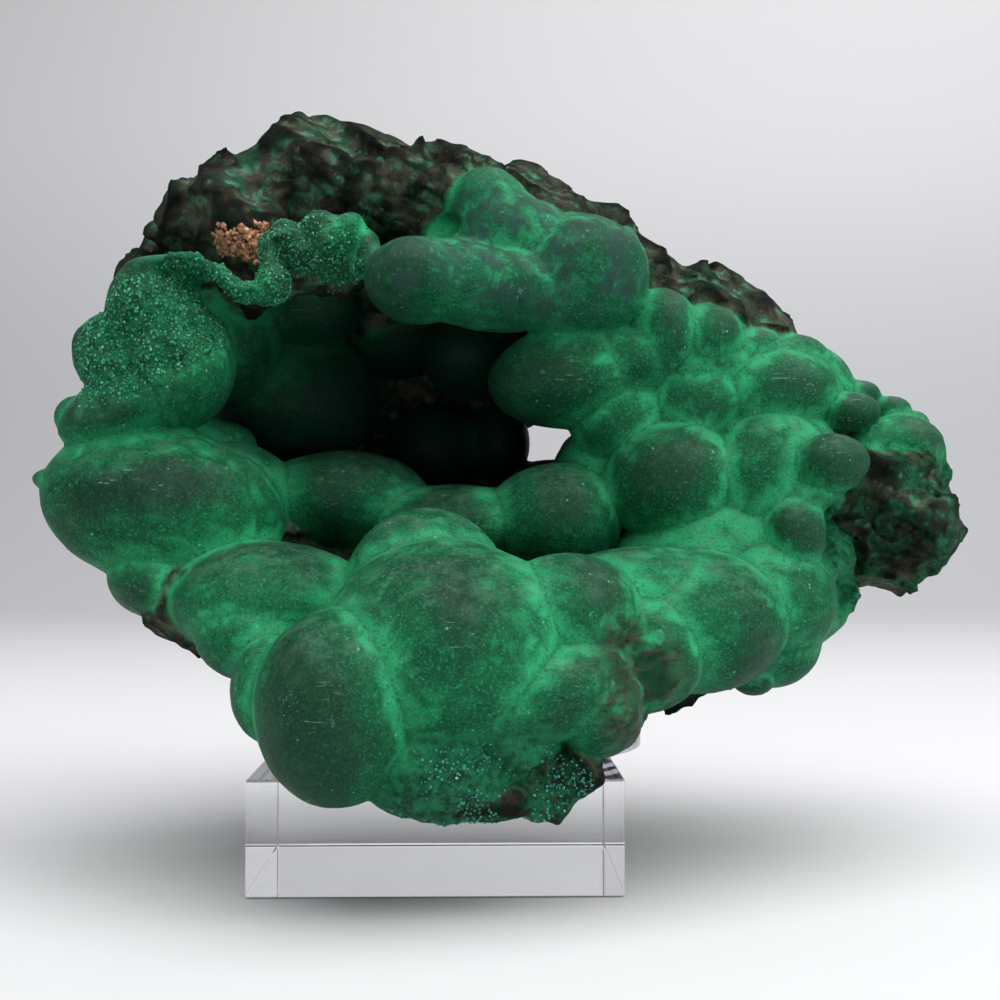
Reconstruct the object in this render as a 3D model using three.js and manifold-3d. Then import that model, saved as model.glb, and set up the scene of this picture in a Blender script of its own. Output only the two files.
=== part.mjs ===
// Malachite specimen on its display block.
//
// One natural stone: a brown-black matrix with an open vug in its front, lined and overgrown
// with rounded (botryoidal) green malachite. It sits in a flat clear ring on a clear block.
// Millimetres, +Z up. The origin is the centre of the block's underside; -Y is the show side.

import * as THREE from 'three';
import { mergeVertices } from 'three/addons/utils/BufferGeometryUtils.js';
import Module from 'manifold-3d';

const wasm = await Module();
wasm.setup();

// ---- Driving dimensions -------------------------------------------------------------------
const BLOCK_SIDE = 65;
const BLOCK_HEIGHT = 20;
const RING_OUTER_RADIUS = 30;
const RING_INNER_RADIUS = 20;
const RING_THICKNESS = 3;
const RING_X = 10;
const RING_Y = 12;
const GAP = 0.3;

// A lobe is an ellipsoid: [x, y, z, half width, half depth, half height, tilt].
// The tilt is in degrees about Y and lifts the lobe's right end.

// Matrix: the dark broken rock that the malachite grew on.
const MATRIX = [
  [23, -38, 24, 6, 9, 7, -35],
  [-23, 12, 133, 20, 20, 13],
  [-42, 8, 124, 16, 20, 11],
  [-54, 6, 112, 7, 14, 11, -30],
  [0, 12, 127, 19, 24, 11, -22],
  [21, 10, 118, 18, 20, 10, -28],
  [58, 18, 106, 15, 18, 8, -30],
  [62, 28, 79, 25, 28, 24],
  [87, 16, 68, 16, 24, 17],
  [90, 6, 62, 10, 14, 10, 35],
  [8, 8, 39, 42, 38, 18],
  [44, 14, 47, 31, 28, 16],
  [-57, 14, 100, 9, 18, 19, -35],
  [-45, 30, 104, 20, 24, 24],
  [-48, 14, 68, 28, 22, 13],
  [-36, -8, 50, 19, 20, 10],
  [-9, 32, 89, 46, 27, 37],
  [-12, 34, 124, 40, 24, 21, -10],
  [34, 34, 87, 28, 24, 27],
  [6, 26, 50, 51, 28, 23],
  [45, 15, 76, 21, 13, 20],
  [55, 12, 98, 14, 8, 8],
  [28, -22, 42, 10, 10, 8],
  [12, 18, 127, 14, 12, 11],
  [27, 18, 121, 14, 12, 11],
  [38, 16, 112, 12, 12, 10],
  [-28, 4, 112, 17, 12, 9],
];

// The vug and the small window that opens through its back, cut out of the matrix.
const HOLLOWS = [
  [-13, -22, 83, 21, 24, 21],
  [-22, 8, 88, 24, 30, 24],
  [-2, 18, 88, 22, 28, 22],
  [16, 22, 80, 10, 26, 8],
  [24, 44, 83, 8, 34, 6],
];

// Front cluster: the great overlapping domes that hang in front of the block.
const FRONT_CLUSTER = [
  [-2, -26, 53, 14, 13, 14],
  [2, -36, 42, 22, 23, 19],
  [23, -33, 48, 12, 16, 11],
  [-16, -47, 34, 13, 17, 16],
  [-27, -40, 36, 7, 10, 9],
  [1, -43, 23, 13, 13, 9, -4],
  [12, -40, 27, 9, 12, 7],
  [27, -37, 34, 9, 14, 10, 30],
  [17, -42, 18, 4, 9, 4],
];

// Rolled lip and floor to the right of the front cluster.
const RIGHT_FLOOR = [
  [36, -31, 41, 10, 12, 10],
  [47, -19, 46, 16, 19, 13],
  [37, -18, 52, 17, 16, 8],
  [61, -8, 50, 14, 18, 12],
  [63, -6, 42, 9, 14, 9],
];

// Field of domes on the right, stepping down to small drips along its top edge.
const RIGHT_FIELD = [
  [58, 2, 54, 25, 21, 17],
  [45, 1, 72, 14, 13, 12],
  [64, 0, 71, 15, 15, 16],
  [73, -14, 75, 7, 8, 6],
  [66, -15, 62, 6, 8, 7],
  [65, 4, 90, 14, 11, 9],
  [74, 9, 91, 9, 9, 9],
  [50, 3, 88, 11, 10, 9],
  [35, 4, 85, 11, 10, 9],
  [22, 0, 65, 13, 12, 11],
  [25, 2, 93, 16, 14, 10, 8],
  [43, -1, 101, 7, 11, 9],
  [52, 0, 100, 7, 10, 7],
  [61, 3, 98, 7, 8, 5],
  [69, 5, 97, 8, 8, 5],
];

// Knobbly band across the top of the vug.
const UPPER_BAND = [
  [9, -6, 124, 7, 10, 7],
  [-4, -14, 109, 10, 17, 8],
  [11, -10, 108, 13, 13, 8],
  [27, -6, 112, 13, 15, 11],
  [25, -6, 107, 14, 12, 7],
  [17, -4, 114, 21, 12, 10, -15],
];

// Wall to the left of the vug.
const LEFT_WALL = [
  [-48, -10, 94, 10, 14, 12],
  [-56, -10, 87, 16, 12, 7, 25],
  [-50, -8, 110, 6, 5, 3, 10],
  [-43, 12, 102, 11, 14, 14],
];

// Slab and floor below the wall.
const LEFT_SLAB = [
  [-57, -8, 69, 18, 14, 11, -12],
  [-51, -12, 53, 10, 12, 7, -10],
  [-54, 4, 78, 18, 10, 7, 8],
  [-40, 2, 68, 12, 14, 12],
  [-30, -20, 50, 18, 18, 11],
  [-31, -28, 44, 11, 12, 8],
];

// Lining inside the vug.
const VUG_LINING = [
  [-19, 8, 69, 17, 14, 10],
  [-32, 26, 91, 19, 18, 16],
  [-27, 14, 109, 11, 12, 9],
  [-10, 38, 106, 12, 12, 10],
  [6, 22, 100, 11, 12, 10],
  [-2, 38, 80, 11, 12, 11],
  [3, 4, 64, 18, 14, 8],
];

// Beads at the right end.
const END_BEADS = [
  [80, 0, 86, 6, 6, 4],
  [84, 7, 90, 4, 4, 3],
  [90, 7, 87, 4, 4, 3],
  [95, 8, 84, 3, 4, 3],
  [91, 4, 78, 9, 10, 8],
  [89, -3, 71, 5, 6, 5],
];

// Thin scalloped frill along the top edge of the vug, and the broken face of the wall.
const FRILL = [
  [-40, -8, 111, 6, 10, 3, -20],
  [-33, -8, 109, 7, 10, 3],
  [-28, -6, 115, 3, 10, 6],
  [-24, -5, 120, 6, 10, 3, 35],
  [-19, -5, 120, 4, 10, 3, -40],
  [-55, -14, 97, 15, 10, 7, 56],
];

// ---- Solids -------------------------------------------------------------------------------
function solid(geometry) {
  const bare = geometry.clone();
  bare.deleteAttribute('normal');
  bare.deleteAttribute('uv');
  const merged = mergeVertices(bare, 1e-4);
  return new wasm.Manifold(new wasm.Mesh({
    numProp: 3,
    vertProperties: new Float32Array(merged.attributes.position.array),
    triVerts: new Uint32Array(merged.index.array),
  }));
}

// Larger lobes take more facets. The facets lie just outside the true ellipsoid's volume.
function lobe([x, y, z, rx, ry, rz, tilt = 0]) {
  const size = Math.cbrt(rx * ry * rz);
  const detail = size > 15 ? 2 : 1;
  const swell = 1 + 0.09 / (detail + 1) ** 2;
  const geometry = new THREE.IcosahedronGeometry(swell, detail);
  geometry.scale(rx, ry, rz);
  geometry.rotateY(-THREE.MathUtils.degToRad(tilt));
  geometry.translate(x, y, z);
  return solid(geometry);
}

const join = (rows) => rows.map(lobe).reduce((all, one) => all.add(one));

function ringGeometry(grow) {
  const inner = RING_INNER_RADIUS - grow;
  const outer = RING_OUTER_RADIUS + grow;
  const low = BLOCK_HEIGHT + GAP - 2 * grow;
  const high = BLOCK_HEIGHT + GAP + RING_THICKNESS + grow;
  const profile = [[inner, low], [outer, low], [outer, high], [inner, high], [inner, low]];
  const geometry = new THREE.LatheGeometry(profile.map(([r, z]) => new THREE.Vector2(r, z)), 64);
  geometry.rotateX(Math.PI / 2);
  geometry.translate(RING_X, RING_Y, 0);
  return geometry;
}

function blockGeometry(grow) {
  const side = BLOCK_SIDE + 2 * grow;
  const geometry = new THREE.BoxGeometry(side, side, BLOCK_HEIGHT + grow);
  geometry.translate(0, 0, (BLOCK_HEIGHT + grow) / 2);
  return geometry;
}

function toGeometry(shape) {
  const { vertProperties, triVerts } = shape.getMesh();
  const geometry = new THREE.BufferGeometry();
  geometry.setAttribute('position', new THREE.BufferAttribute(vertProperties, 3));
  geometry.setIndex(new THREE.BufferAttribute(triVerts, 1));
  geometry.computeVertexNormals();
  return geometry;
}

// ---- The stone ----------------------------------------------------------------------------
const hollowed = join(MATRIX).subtract(join(HOLLOWS));
const malachite = join([
  ...FRONT_CLUSTER,
  ...RIGHT_FLOOR,
  ...RIGHT_FIELD,
  ...UPPER_BAND,
  ...LEFT_WALL,
  ...LEFT_SLAB,
  ...VUG_LINING,
  ...END_BEADS,
  ...FRILL,
]);
const stoneShape = hollowed
  .add(malachite)
  .subtract(solid(blockGeometry(GAP)))
  .subtract(solid(ringGeometry(GAP)));

// ---- The parts ----------------------------------------------------------------------------
const group = new THREE.Group();

function part(name, geometry, material) {
  const mesh = new THREE.Mesh(geometry, new THREE.MeshStandardMaterial(material));
  mesh.name = name;
  group.add(mesh);
}

part('malachite', toGeometry(stoneShape), { color: 0x1f7a4c, roughness: 0.75, metalness: 0 });
part('acrylic_block', blockGeometry(0), { color: 0xeef2f5, roughness: 0.05, metalness: 0 });
part('cradle_ring', ringGeometry(0), { color: 0xe6e0f2, roughness: 0.08, metalness: 0 });

export default group;
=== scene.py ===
# %% [markdown]
# # A malachite specimen on a clear display block
#
# This lesson makes a museum-style mineral specimen in Blender: one natural stone, rounded
# green malachite lining and overgrowing a hollow (a vug) in dark broken rock, resting in a
# clear plastic ring on a clear plastic block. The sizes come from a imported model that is
# loaded first. Nothing here moves, so every piece rides on the one body, "root".

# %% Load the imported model
import itertools
import math

import bmesh
import bpy
import numpy as np
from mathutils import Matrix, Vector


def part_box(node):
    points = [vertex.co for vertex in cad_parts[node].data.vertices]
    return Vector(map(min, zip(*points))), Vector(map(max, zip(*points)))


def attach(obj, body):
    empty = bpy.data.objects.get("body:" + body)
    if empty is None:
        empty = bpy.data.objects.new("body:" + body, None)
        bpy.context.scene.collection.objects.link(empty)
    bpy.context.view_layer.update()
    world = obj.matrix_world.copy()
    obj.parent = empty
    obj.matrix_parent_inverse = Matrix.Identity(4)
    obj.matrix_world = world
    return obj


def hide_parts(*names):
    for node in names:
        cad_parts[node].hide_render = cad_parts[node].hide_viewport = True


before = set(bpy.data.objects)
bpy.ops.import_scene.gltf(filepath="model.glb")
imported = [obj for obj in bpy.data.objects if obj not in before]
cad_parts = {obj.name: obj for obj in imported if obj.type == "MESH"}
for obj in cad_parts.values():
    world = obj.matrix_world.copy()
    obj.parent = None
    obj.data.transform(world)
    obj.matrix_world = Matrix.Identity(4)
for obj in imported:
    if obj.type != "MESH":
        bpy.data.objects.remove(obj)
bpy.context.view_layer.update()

import openvdb as vdb
from mathutils import Euler, Vector

block_low, block_high = (np.array(corner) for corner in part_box("acrylic_block"))
ring_low, ring_high = (np.array(corner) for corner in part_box("cradle_ring"))
stone_low, stone_high = (np.array(corner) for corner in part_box("malachite"))
print("nodes:", sorted(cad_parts))

# %% [markdown]
# ## One unit for the whole lesson
#
# The stone is described below in millimetres, on a block that is 65 mm wide. The unit is
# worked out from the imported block, so that the whole lesson follows the model if its size
# ever changes. The foot is the middle of the block's underside, where all places start.

# %% The unit and the foot
BLOCK_SIDE = 65
unit = float(block_high[0] - block_low[0]) / BLOCK_SIDE
foot = np.array([(block_low[0] + block_high[0]) / 2, (block_low[1] + block_high[1]) / 2,
                 block_low[2]])
stone_from = (stone_low - foot) / unit
stone_to = (stone_high - foot) / unit
print("unit", round(unit, 6), "stone", stone_from.round(1), stone_to.round(1))

# %% [markdown]
# ## The stone as a list of lobes
#
# Botryoidal malachite grows as crowded round caps, like grapes pressed together. Each cap is
# written as one ellipsoid: x, y, z, half width, half depth, half height and, if it leans, the
# angle that lifts its right end. A sculptor would push clay balls together in the same way.
# Modelling by hand in sculpt mode is the usual choice, but a list can be read, changed and
# repeated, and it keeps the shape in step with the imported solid. The rock's hollows and its
# small caves are lobes too, but they are cut away.

# %% Lobes of the dark rock, of the vug and of the small caves
matrix = [
    (8, -43, 19, 13, 9, 4, -6), (23, -38, 24, 6, 9, 7, -35), (-23, 12, 133, 20, 20, 13),
    (-42, 8, 124, 16, 20, 11), (-54, 6, 112, 7, 14, 11, -30), (0, 12, 127, 19, 24, 11, -22),
    (21, 10, 118, 18, 20, 10, -28), (41, 18, 103, 16, 22, 11, -20), (58, 18, 106, 15, 18, 8, -30),
    (62, 28, 79, 25, 28, 24), (87, 16, 68, 16, 24, 17), (90, 6, 62, 10, 14, 10, 35),
    (8, 8, 39, 42, 38, 18), (44, 14, 47, 31, 28, 16), (-57, 14, 100, 9, 18, 19, -35),
    (-45, 30, 104, 20, 24, 24), (-48, 14, 68, 28, 22, 13), (-36, -8, 50, 19, 20, 10),
    (-9, 32, 89, 46, 27, 37), (-12, 34, 124, 40, 24, 21, -10), (34, 34, 87, 28, 24, 27),
    (6, 26, 50, 51, 28, 23), (45, 15, 76, 21, 13, 20), (55, 12, 98, 14, 8, 8),
    (28, -22, 42, 10, 10, 8), (12, 18, 127, 14, 12, 11), (27, 18, 121, 14, 12, 11),
    (38, 16, 112, 12, 12, 10), (-28, 4, 112, 17, 12, 9),
]
hollows = [
    (-13, -22, 83, 21, 24, 21), (-22, 8, 88, 24, 30, 24), (-2, 18, 88, 22, 28, 22),
    (16, 22, 80, 10, 26, 8), (24, 44, 83, 8, 34, 6),
]
caves = [
    (81, -13, 66, 5, 7, 3, 15), (76, -12, 50, 4, 6, 3, 30), (84, -9, 55, 5, 7, 3, -10),
    (91, -6, 61, 4, 7, 3, 25), (88, -10, 50, 4, 5, 3), (95, 0, 68, 3, 6, 4),
    (-47, -14, 122, 5, 7, 4, -20), (-32, -12, 128, 6, 6, 4, 10), (-12, -14, 131, 6, 6, 3, -10),
    (-22, -16, 137, 5, 6, 3), (-2, -12, 121, 6, 6, 3, -15), (-56, -6, 112, 4, 8, 4),
]
print(len(matrix), "rock lobes,", len(hollows), "hollows,", len(caves), "caves")

# %% Lobes of the malachite
front_cluster = [
    (-2, -26, 53, 14, 13, 14), (2, -36, 42, 22, 23, 19), (23, -33, 48, 12, 16, 11),
    (-16, -47, 34, 13, 17, 16), (-27, -40, 36, 7, 10, 9), (1, -43, 23, 13, 13, 9, -4),
    (12, -40, 27, 9, 12, 7), (19, -43, 36, 15, 12, 8, 20), (27, -37, 34, 9, 14, 10, 30),
    (17, -42, 18, 4, 9, 4),
]
right_floor = [
    (36, -31, 41, 10, 12, 10), (47, -19, 46, 16, 19, 13), (37, -18, 52, 17, 16, 8),
    (61, -8, 50, 14, 18, 12), (63, -6, 42, 9, 14, 9), (58, -14, 35, 4, 5, 3),
]
right_field = [
    (58, 2, 54, 25, 21, 17), (45, -2, 72, 13, 13, 12), (64, -2, 71, 13, 14, 15), (68, 0, 77, 10, 9, 9),
    (73, -14, 75, 7, 8, 6), (70, -12, 68, 6, 7, 5), (66, -15, 62, 6, 8, 7), (65, 2, 90, 13, 11, 9),
    (74, 9, 91, 9, 9, 9), (50, 1, 88, 10, 10, 9), (35, 2, 85, 10, 10, 9), (33, 9, 74, 11, 11, 10),
    (22, 0, 65, 13, 12, 11), (25, 2, 93, 16, 14, 10, 8), (37, 0, 96, 9, 11, 7), (43, -1, 101, 7, 11, 9),
    (52, 0, 100, 7, 10, 7), (61, 3, 98, 7, 8, 5), (69, 5, 97, 8, 8, 5), (51, 1, 95, 12, 9, 5),
]
upper_band = [
    (9, -6, 124, 8, 10, 8), (16, -6, 118, 9, 11, 8), (-4, -14, 109, 10, 17, 8),
    (11, -10, 108, 13, 13, 8), (27, -6, 112, 13, 15, 11), (25, -6, 107, 14, 12, 7),
    (17, -4, 114, 21, 12, 10, -15), (36, -2, 115, 3, 7, 7),
    (4, -13, 109, 9, 13, 8), (12, -7, 119, 9, 11, 9),
]
left_wall = [
    (-48, -10, 94, 10, 14, 12), (-56, -10, 87, 16, 12, 7, 25), (-68, -9, 84, 4, 4, 4),
    (-50, -8, 110, 6, 5, 3, 10), (-43, 12, 102, 11, 14, 14),
    (-53, -11, 104, 9, 12, 9, 35), (-60, -10, 95, 8, 11, 9, 40),
]
left_slab = [
    (-52, -8, 67, 23, 17, 15, -12), (-51, -12, 53, 10, 12, 7, -10), (-70, -6, 72, 7, 6, 3, -6),
    (-54, 4, 78, 18, 10, 7, 8), (-40, 2, 68, 12, 14, 12), (-30, -20, 50, 18, 18, 11),
    (-31, -28, 44, 11, 12, 8), (-49, -2, 59, 21, 12, 7, -12),
]
vug_lining = [
    (-19, 8, 69, 17, 14, 10), (-32, 26, 91, 19, 18, 16), (-27, 14, 109, 11, 12, 9),
    (-20, -6, 112, 5, 6, 4), (-10, 38, 106, 12, 12, 10), (6, 22, 100, 11, 12, 10),
    (-2, 38, 80, 11, 12, 11), (12, 36, 82, 7, 10, 9), (22, 22, 67, 11, 12, 11), (3, 4, 64, 18, 14, 8),
]
end_beads = [
    (80, 0, 86, 6, 6, 4), (84, 7, 90, 4, 4, 3), (90, 7, 87, 4, 4, 3), (95, 8, 84, 3, 4, 3),
    (91, 4, 78, 9, 10, 8), (89, -3, 71, 5, 6, 5), (99, 6, 74, 3, 6, 5), (85, 4, 75, 6, 9, 9),
]
frill = [
    (-53, -13, 111, 5, 8, 2.4, 10), (-47, -13, 112, 5, 9, 2.2, 6), (-42, -13, 111, 4, 8, 2.2, -15),
    (-39, -14, 109, 5, 7, 2.2, -35), (-35, -14, 106.5, 5, 8, 2.4), (-31, -13, 108, 4, 8, 4, 20),
    (-31, -11, 113, 3, 7, 6, 10), (-27, -11, 116, 4, 7, 6, 35), (-22, -11, 118, 5, 7, 5, 15),
    (-18, -11, 117, 4, 7, 6, -30), (-14, -11, 114, 3, 7, 5, -20),
]
malachite = (front_cluster + right_floor + right_field + upper_band + left_wall
             + left_slab + vug_lining + end_beads)
print(len(malachite), "malachite lobes,", len(frill), "frill lobes")

# %% [markdown]
# ## Distance to a lobe
#
# A signed distance is negative inside a shape and positive outside. With distances, joining
# shapes is taking the smaller one, cutting is taking the larger of one and minus the other,
# and a soft joint is a smaller one with its corner rounded. This is much sturdier than
# dozens of Boolean modifiers, and every later step can ask how near a crease a point is.

# %% Distances and joints
def ellipsoid(x, y, z, lobe):
    """Signed distance, in millimetres, from points to one lobe."""
    cx, cy, cz, rx, ry, rz, *lean = lobe
    x, y, z = x - cx, y - cy, z - cz
    if lean:
        turn = math.radians(lean[0])
        x, z = (x * math.cos(turn) + z * math.sin(turn),
                z * math.cos(turn) - x * math.sin(turn))
    near = np.sqrt((x / rx) ** 2 + (y / ry) ** 2 + (z / rz) ** 2)
    slope = np.sqrt((x / rx ** 2) ** 2 + (y / ry ** 2) ** 2 + (z / rz ** 2) ** 2)
    return near * (near - 1) / np.maximum(slope, 1e-6)


def join(near, next_near, width, share=1.0):
    """The nearer of two shapes, with the crease between them filled to the given width.

    A share of 1 rounds the crease away. Less keeps the crease crisp but makes it shallow.
    """
    overlap = np.maximum(width - np.abs(next_near - near), 0) / width
    return np.minimum(near, next_near) - share * overlap * overlap * width / 4


def smooth_step(value, low, high):
    """0 below low, 1 above high, and a smooth rise between them."""
    t = np.clip((value - low) / (high - low), 0, 1)
    return t * t * (3 - 2 * t)


# %% [markdown]
# ## A grid of distances
#
# The distances are kept on a grid of points, as a medical scan keeps densities. Each lobe
# only touches the part of the grid round it, which keeps this quick. The two nearest lobes
# are remembered at every point, because the crease runs where they are equally near.
#
# Pressed clay balls leave deep grooves, but the caps of malachite have grown into each other
# and meet in a shallower, crisp line. So the crease is filled by about a quarter, wide
# between large caps and narrow round small beads, which would otherwise swell and drown.

# %% Fill the grid
CELL = 0.64
FAR = 9.0
MARGIN = 5.0
LARGE, BEAD = 9, 5
axes = [np.arange(a - MARGIN, b + MARGIN, CELL, dtype=np.float32)
        for a, b in zip(stone_from, stone_to)]


def fill_grid(lobes, width, share=1.0):
    """One distance grid for many lobes, with their creases filled."""
    near = np.full([len(a) for a in axes], FAR, np.float32)
    next_near = near + width
    for lobe in lobes:
        longest = max(lobe[3], lobe[5])
        part = tuple(slice(*(int(k) for k in np.searchsorted(a, (c - r - FAR, c + r + FAR))))
                     for a, c, r in zip(axes, lobe[:3], (longest, lobe[4], longest)))
        x, y, z = np.meshgrid(*(a[p] for a, p in zip(axes, part)), indexing="ij", sparse=True)
        here = ellipsoid(x, y, z, lobe)
        next_near[part] = np.minimum(next_near[part], np.maximum(near[part], here))
        near[part] = np.minimum(near[part], here)
    return join(near, next_near, width, share)


def smallest_half(lobe):
    """The smallest of a lobe's three half sizes."""
    return min(lobe[3:6])


large = [lobe for lobe in malachite if smallest_half(lobe) >= LARGE]
middling = [lobe for lobe in malachite if BEAD < smallest_half(lobe) < LARGE]
beads = [lobe for lobe in malachite if smallest_half(lobe) <= BEAD]
green_grid = join(fill_grid(large, 8, 0.28), fill_grid(middling, 5, 0.25), 5, 0.25)
green_grid = join(green_grid, fill_grid(beads, 3, 0.25), 3, 0.3)
frill_grid = fill_grid(frill, 2.0)
rock_grid = np.maximum(fill_grid(matrix, 9, 0.8), -fill_grid(hollows, 6))
print("grid", green_grid.shape)
print("large", len(large), "middling", len(middling), "beads", len(beads))

# %% [markdown]
# ## Natural roughness
#
# Broken rock is rough at every size at once: ledges of a centimetre, lumps of a few
# millimetres, grains of less than one. Noise at several sizes is added to the distances, so
# that the surface itself moves, with real overhangs and pits. The same noise is used later
# to place the turquoise crumbs. A table of 32 x 32 x 32 random numbers with a fixed seed
# makes it the same on every run. The table repeats past its ends, but it is turned askew, so
# that the repeats don't line up with the stone.

# %% Noise for the shape
TABLE_BITS = 5
LAST = (1 << TABLE_BITS) - 1
table = np.random.default_rng(7).random(1 << 3 * TABLE_BITS).astype(np.float32)
twist = np.array(Euler((0.6, 0.5, 0.9)).to_matrix(), dtype=np.float32)


def lumps(points, size, seed):
    """Smooth noise from 0 to 1, with lumps of the given size in millimetres."""
    p = twist @ points / np.float32(size) + np.float32(seed * 3.7)
    cells = np.floor(p)
    f = p - cells
    f = f * f * (3 - 2 * f)
    low = cells.astype(np.int32) & LAST
    high = low + 1 & LAST

    def along_z(row):
        start = table[row + low[2]]
        return start + (table[row + high[2]] - start) * f[2]

    def along_y(plane):
        start = along_z(plane + (low[1] << TABLE_BITS))
        return start + (along_z(plane + (high[1] << TABLE_BITS)) - start) * f[1]

    start = along_y(low[0] << 2 * TABLE_BITS)
    return start + (along_y(high[0] << 2 * TABLE_BITS) - start) * f[0]


def ridges(points, size, seed):
    """Noise from 0 to 1 with sharp crests, like the walls between rounded bowls."""
    return 1 - np.abs(2 * lumps(points, size, seed) - 1)


def pits(points, size, seed):
    """1 in the middle of scattered pits, falling to 0 at their rims."""
    return smooth_step(lumps(points, size, seed), 0.60, 0.85)


# %% [markdown]
# ## Where the stone is broken
#
# Most of the green is smooth, but some parts are broken or crusted: the face of the left
# wall, the frill over the hollow, the foot at the very front, the banded ridge beside it and
# the pitted right end. Each is a soft-edged zone, written like a lobe.

# %% Zones
zones = {
    "wall": [(-52, -20, 99, 17, 12, 9, 35)],
    "frill": [(-29, -12, 113, 15, 12, 8)],
    "foot": [(10, -52, 20, 17, 12, 8)],
    "ridge": [(34, -44, 36, 7, 12, 12, 20)],
    "end": [(86, -8, 60, 15, 14, 15), (96, 4, 66, 8, 14, 12)],
    "cap": [(58, 14, 108, 22, 24, 9, -30)],
    "copper": [(-37, -10, 117, 6, 9, 2)],
    "crust": [(20, -18, 115, 24, 14, 12), (-6, -26, 110, 8, 10, 6)],
}


def zone(name, points, soft=5.0):
    """1 inside a zone, fading to 0 over the soft distance outside it."""
    away = np.min([ellipsoid(*points, lobe) for lobe in zones[name]], axis=0)
    return smooth_step(away + 2.5 * (lumps(points, 4.0, 41) - 0.5), soft, -soft * 0.3)


# %% [markdown]
# ## Roughen the surface
#
# Only the points close to the surface matter, so the noise is worked out for those alone.
# The rock gets ledges, crests and pits, worn in below its lobes or standing out from them by
# up to 2.8 mm. The green domes get a very slight waviness, and the broken zones get their own
# grain, all of it worn in. The rock is thin under the foot, so it is kept calmer there.

# %% Roughen
LEDGE = 3.4
STANDS_OUT = 2.8
ROUGHNESS = {"wall": 1.0, "frill": 1.0, "foot": 1.2, "ridge": 0.8}


def places_where(mask):
    """The places of the chosen grid points, as rows of x, y and z."""
    spot = np.nonzero(mask)
    return spot, np.stack([a[s] for a, s in zip(axes, spot)])


def ledges(points):
    """Thin layers that step back from each other, as in laminated rock."""
    height = points[2] + 0.35 * points[0] - 0.2 * points[1] + 9 * lumps(points, 13.0, 5)
    layer = height / LEDGE
    return layer - np.floor(layer)


def rock_relief(points):
    """How far, in millimetres, the rock's surface is worn in, or stands out if negative."""
    swirl = np.stack([lumps(points, 9.0, seed) for seed in (31, 32, 33)])
    bent = points + 3.0 * (swirl - 0.5)
    depth = 5.6 * (1 - ridges(bent, 17.0, 1)) + 2.5 * (1 - ridges(bent, 7.0, 2))
    depth += 0.8 * (1 - ridges(bent, 2.8, 3)) + 0.5 * ledges(points)
    return depth - STANDS_OUT + 5.0 * pits(bent, 9.0, 11)


def green_relief(points):
    """How far the malachite is worn in: very little, except in the broken zones."""
    depth = 0.30 * lumps(points, 6.0, 21) + 0.10 * lumps(points, 1.6, 22)
    rough = 1.8 * (1 - ridges(points, 4.4, 23)) + 0.9 * (1 - ridges(points, 1.9, 24))
    for name, share in ROUGHNESS.items():
        depth += share * rough * zone(name, points)
    depth += (1.2 * rough + 6.0 * pits(points, 6.5, 12)) * zone("end", points)
    return depth + 0.4 * lumps(points, 2.4, 25) * zone("crust", points)


cave_grid = fill_grid(caves, 2.0)
green_grid = np.maximum(green_grid, -cave_grid)
rock_grid = np.maximum(rock_grid, -cave_grid)
any_green = np.minimum(green_grid, frill_grid)
spot, points = places_where((any_green > -7) & (any_green < 2) & (rock_grid > -3))
print(len(points[0]), "points near the green surface")
relief = green_relief(points)
green_grid[spot] += relief
frill_grid[spot] += relief
green_grid = join(green_grid, frill_grid, 2.0)
spot, points = places_where((rock_grid > -9) & (rock_grid < 5) & (green_grid > -1.5))
print(len(points[0]), "points near the rock surface")
rock_grid[spot] += rock_relief(points) * (1 - 0.7 * zone("foot", points))
stone_grid = join(green_grid, rock_grid, 0.5)
lead_grid = green_grid - rock_grid

# %% [markdown]
# ## Room for the stand
#
# The stone rests in the ring, so the surface stays a hair clear of the ring and the block,
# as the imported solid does.

# %% Keep clear of the ring and the block
GAP = 0.3
x, y, z = np.meshgrid(*axes, indexing="ij", sparse=True)
ring_middle = ((ring_low + ring_high) / 2 - foot) / unit
ring_outer = (ring_high[0] - ring_low[0]) / unit / 2
RING_INNER = 20
block_top = (block_high[2] - foot[2]) / unit
ring_top = (ring_high[2] - foot[2]) / unit
from_axis = np.sqrt((x - ring_middle[0]) ** 2 + (y - ring_middle[1]) ** 2)
ring_room = np.maximum(np.maximum(from_axis - ring_outer, RING_INNER - from_axis), z - ring_top)
block_room = np.maximum(np.maximum(np.abs(x), np.abs(y)) - BLOCK_SIDE / 2, z - block_top)
stone_grid = np.maximum(stone_grid, GAP - np.minimum(ring_room, block_room))

# %% [markdown]
# ## From distances to a mesh
#
# OpenVDB walks through the grid and puts a skin where the distance is zero. The skin is
# finer than it needs to be on the broad domes, so a Decimate modifier takes faces away
# where the surface is nearly flat and keeps them where it is craggy.
#
# The corners of each face are listed in reverse, so the normals of this mesh point into the
# stone, not out of it. The measurements further down allow for that.

# %% Make the stone
def new_object(name, mesh):
    piece = bpy.data.objects.new(name, mesh)
    bpy.context.scene.collection.objects.link(piece)
    return piece


def baked(piece, name):
    """A plain mesh object with the piece's modifiers applied. The piece itself is removed."""
    bpy.context.view_layer.update()
    result = piece.evaluated_get(bpy.context.evaluated_depsgraph_get())
    mesh = bpy.data.meshes.new_from_object(result)
    mesh.name = name
    bpy.data.objects.remove(piece)
    return new_object(name, mesh)


TRIANGLES = 194000
skin_grid = vdb.FloatGrid(background=FAR)
skin_grid.copyFromArray(stone_grid)
skin_points, skin_quads = skin_grid.convertToQuads(isovalue=0.0)
skin_points = (skin_points * CELL + [a[0] for a in axes]) * unit + foot
skin = bpy.data.meshes.new("skin")
skin.from_pydata(skin_points.tolist(), [], skin_quads[:, ::-1].tolist())
print("skin", len(skin_quads), "quads")

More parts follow.
